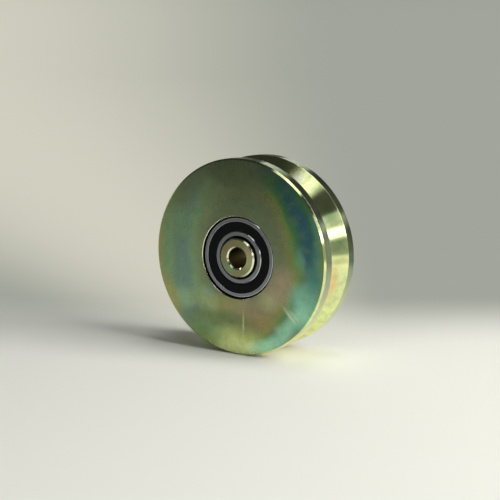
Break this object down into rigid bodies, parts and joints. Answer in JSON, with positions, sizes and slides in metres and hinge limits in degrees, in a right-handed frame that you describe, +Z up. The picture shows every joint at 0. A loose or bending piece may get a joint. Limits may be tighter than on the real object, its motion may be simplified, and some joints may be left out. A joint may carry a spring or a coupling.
{
  "type": "v groove wheel",
  "caption": "Turned steel V groove wheel for an angle-iron track, yellow zinc plated, on sealed ball bearings with a plain sleeve for an axle bolt.",
  "frame": {"origin": "the wheel's centre, on the axle line midway between the two faces", "axes": "+Y along the axle, from the front face to the rear face, +Z up, as the wheel stands on its rim"},
  "size_m": [0.1, 0.0324, 0.1],
  "materials": {
    "plated_wheel": "turned steel, yellow zinc plated, iridescent satin",
    "plated_sleeve": "turned steel, yellow zinc plated",
    "ground_race": "ground bearing steel",
    "polished_ball": "polished bearing steel",
    "pressed_cage": "pressed bright steel strip",
    "seal_rubber": "moulded black rubber"
  },
  "bodies": {
    "core": {"axle_sleeve": "plated_sleeve", "front_bearing_inner_race": "ground_race", "rear_bearing_inner_race": "ground_race"},
    "wheel": {"wheel_body": "plated_wheel", "front_bearing_outer_race": "ground_race", "front_bearing_outboard_seal": "seal_rubber", "front_bearing_inboard_seal": "seal_rubber", "rear_bearing_outer_race": "ground_race", "rear_bearing_outboard_seal": "seal_rubber", "rear_bearing_inboard_seal": "seal_rubber"},
    "front_cage": {"front_bearing_outboard_cage": "pressed_cage", "front_bearing_inboard_cage": "pressed_cage", "front_bearing_cage_rivets": "pressed_cage"},
    "rear_cage": {"rear_bearing_outboard_cage": "pressed_cage", "rear_bearing_inboard_cage": "pressed_cage", "rear_bearing_cage_rivets": "pressed_cage"},
    "front_ball_1": {"front_bearing_ball_1": "polished_ball"},
    "front_ball_2": {"front_bearing_ball_2": "polished_ball"},
    "front_ball_3": {"front_bearing_ball_3": "polished_ball"},
    "front_ball_4": {"front_bearing_ball_4": "polished_ball"},
    "front_ball_5": {"front_bearing_ball_5": "polished_ball"},
    "front_ball_6": {"front_bearing_ball_6": "polished_ball"},
    "front_ball_7": {"front_bearing_ball_7": "polished_ball"},
    "front_ball_8": {"front_bearing_ball_8": "polished_ball"},
    "front_ball_9": {"front_bearing_ball_9": "polished_ball"},
    "rear_ball_1": {"rear_bearing_ball_1": "polished_ball"},
    "rear_ball_2": {"rear_bearing_ball_2": "polished_ball"},
    "rear_ball_3": {"rear_bearing_ball_3": "polished_ball"},
    "rear_ball_4": {"rear_bearing_ball_4": "polished_ball"},
    "rear_ball_5": {"rear_bearing_ball_5": "polished_ball"},
    "rear_ball_6": {"rear_bearing_ball_6": "polished_ball"},
    "rear_ball_7": {"rear_bearing_ball_7": "polished_ball"},
    "rear_ball_8": {"rear_bearing_ball_8": "polished_ball"},
    "rear_ball_9": {"rear_bearing_ball_9": "polished_ball"}
  },
  "joints": [
    {"name": "wheel_spin", "type": "hinge", "parent": "core", "child": "wheel", "pos_m": [0, 0, 0], "axis": [0, 1, 0], "continuous": true},
    {"name": "front_cage_spin", "type": "hinge", "parent": "core", "child": "front_cage", "pos_m": [0, -0.00855, 0], "axis": [0, 1, 0], "continuous": true},
    {"name": "rear_cage_spin", "type": "hinge", "parent": "core", "child": "rear_cage", "pos_m": [0, 0.00855, 0], "axis": [0, 1, 0], "continuous": true},
    {"name": "front_ball_1_spin", "type": "hinge", "parent": "front_cage", "child": "front_ball_1", "pos_m": [0.01457, -0.00855, 0.0053], "axis": [0, 1, 0], "continuous": true},
    {"name": "front_ball_2_spin", "type": "hinge", "parent": "front_cage", "child": "front_ball_2", "pos_m": [0.00775, -0.00855, 0.01342], "axis": [0, 1, 0], "continuous": true},
    {"name": "front_ball_3_spin", "type": "hinge", "parent": "front_cage", "child": "front_ball_3", "pos_m": [-0.00269, -0.00855, 0.01526], "axis": [0, 1, 0], "continuous": true},
    {"name": "front_ball_4_spin", "type": "hinge", "parent": "front_cage", "child": "front_ball_4", "pos_m": [-0.01187, -0.00855, 0.00996], "axis": [0, 1, 0], "continuous": true},
    {"name": "front_ball_5_spin", "type": "hinge", "parent": "front_cage", "child": "front_ball_5", "pos_m": [-0.0155, -0.00855, 0], "axis": [0, 1, 0], "continuous": true},
    {"name": "front_ball_6_spin", "type": "hinge", "parent": "front_cage", "child": "front_ball_6", "pos_m": [-0.01187, -0.00855, -0.00996], "axis": [0, 1, 0], "continuous": true},
    {"name": "front_ball_7_spin", "type": "hinge", "parent": "front_cage", "child": "front_ball_7", "pos_m": [-0.00269, -0.00855, -0.01526], "axis": [0, 1, 0], "continuous": true},
    {"name": "front_ball_8_spin", "type": "hinge", "parent": "front_cage", "child": "front_ball_8", "pos_m": [0.00775, -0.00855, -0.01342], "axis": [0, 1, 0], "continuous": true},
    {"name": "front_ball_9_spin", "type": "hinge", "parent": "front_cage", "child": "front_ball_9", "pos_m": [0.01457, -0.00855, -0.0053], "axis": [0, 1, 0], "continuous": true},
    {"name": "rear_ball_1_spin", "type": "hinge", "parent": "rear_cage", "child": "rear_ball_1", "pos_m": [-0.01457, 0.00855, 0.0053], "axis": [0, 1, 0], "continuous": true},
    {"name": "rear_ball_2_spin", "type": "hinge", "parent": "rear_cage", "child": "rear_ball_2", "pos_m": [-0.00775, 0.00855, 0.01342], "axis": [0, 1, 0], "continuous": true},
    {"name": "rear_ball_3_spin", "type": "hinge", "parent": "rear_cage", "child": "rear_ball_3", "pos_m": [0.00269, 0.00855, 0.01526], "axis": [0, 1, 0], "continuous": true},
    {"name": "rear_ball_4_spin", "type": "hinge", "parent": "rear_cage", "child": "rear_ball_4", "pos_m": [0.01187, 0.00855, 0.00996], "axis": [0, 1, 0], "continuous": true},
    {"name": "rear_ball_5_spin", "type": "hinge", "parent": "rear_cage", "child": "rear_ball_5", "pos_m": [0.0155, 0.00855, 0], "axis": [0, 1, 0], "continuous": true},
    {"name": "rear_ball_6_spin", "type": "hinge", "parent": "rear_cage", "child": "rear_ball_6", "pos_m": [0.01187, 0.00855, -0.00996], "axis": [0, 1, 0], "continuous": true},
    {"name": "rear_ball_7_spin", "type": "hinge", "parent": "rear_cage", "child": "rear_ball_7", "pos_m": [0.00269, 0.00855, -0.01526], "axis": [0, 1, 0], "continuous": true},
    {"name": "rear_ball_8_spin", "type": "hinge", "parent": "rear_cage", "child": "rear_ball_8", "pos_m": [-0.00775, 0.00855, -0.01342], "axis": [0, 1, 0], "continuous": true},
    {"name": "rear_ball_9_spin", "type": "hinge", "parent": "rear_cage", "child": "rear_ball_9", "pos_m": [-0.01457, 0.00855, -0.0053], "axis": [0, 1, 0], "continuous": true}
  ],
  "couplings": [
    {"joint": "front_cage_spin", "follows": "wheel_spin", "ratio": 0.60242},
    {"joint": "rear_cage_spin", "follows": "wheel_spin", "ratio": 0.60242},
    {"joint": "front_ball_1_spin", "follows": "wheel_spin", "ratio": 2.3385},
    {"joint": "front_ball_2_spin", "follows": "wheel_spin", "ratio": 2.3385},
    {"joint": "front_ball_3_spin", "follows": "wheel_spin", "ratio": 2.3385},
    {"joint": "front_ball_4_spin", "follows": "wheel_spin", "ratio": 2.3385},
    {"joint": "front_ball_5_spin", "follows": "wheel_spin", "ratio": 2.3385},
    {"joint": "front_ball_6_spin", "follows": "wheel_spin", "ratio": 2.3385},
    {"joint": "front_ball_7_spin", "follows": "wheel_spin", "ratio": 2.3385},
    {"joint": "front_ball_8_spin", "follows": "wheel_spin", "ratio": 2.3385},
    {"joint": "front_ball_9_spin", "follows": "wheel_spin", "ratio": 2.3385},
    {"joint": "rear_ball_1_spin", "follows": "wheel_spin", "ratio": 2.3385},
    {"joint": "rear_ball_2_spin", "follows": "wheel_spin", "ratio": 2.3385},
    {"joint": "rear_ball_3_spin", "follows": "wheel_spin", "ratio": 2.3385},
    {"joint": "rear_ball_4_spin", "follows": "wheel_spin", "ratio": 2.3385},
    {"joint": "rear_ball_5_spin", "follows": "wheel_spin", "ratio": 2.3385},
    {"joint": "rear_ball_6_spin", "follows": "wheel_spin", "ratio": 2.3385},
    {"joint": "rear_ball_7_spin", "follows": "wheel_spin", "ratio": 2.3385},
    {"joint": "rear_ball_8_spin", "follows": "wheel_spin", "ratio": 2.3385},
    {"joint": "rear_ball_9_spin", "follows": "wheel_spin", "ratio": 2.3385}
  ]
}
